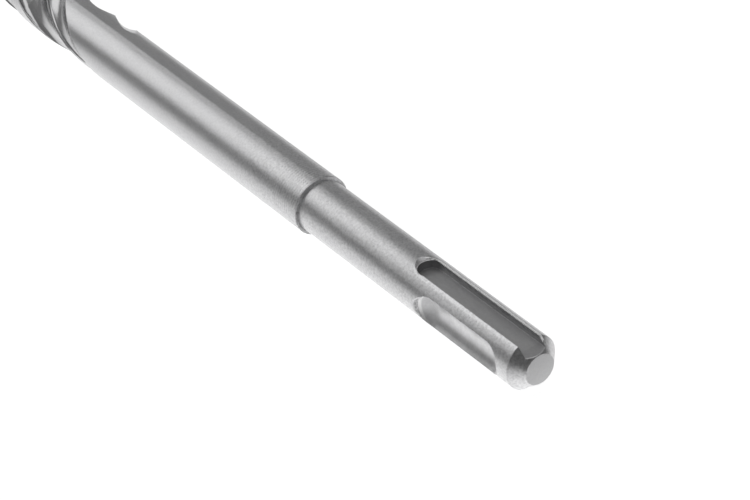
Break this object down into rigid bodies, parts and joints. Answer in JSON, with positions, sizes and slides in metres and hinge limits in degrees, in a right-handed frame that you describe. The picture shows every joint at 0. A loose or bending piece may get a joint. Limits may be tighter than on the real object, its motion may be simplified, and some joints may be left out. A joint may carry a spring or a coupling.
{
  "type": "sds plus drill bit",
  "caption": "Masonry drill bit with a grooved quick-change shank, a plain neck, a helical fluted body and a brazed carbide tip across its head.",
  "frame": {"origin": "centre of the flat end face of the shank", "axes": "+X along the bit from the shank end to the cutting tip; +Z square to the floor of one open drive groove; +Y towards one closed locking groove"},
  "size_m": [0.26, 0.0112, 0.012],
  "materials": {
    "steel": "satin, finely blasted",
    "carbide": "ground, matt grey"
  },
  "bodies": {
    "root": {"drill_body": "steel", "carbide_tip": "carbide"}
  },
  "joints": []
}
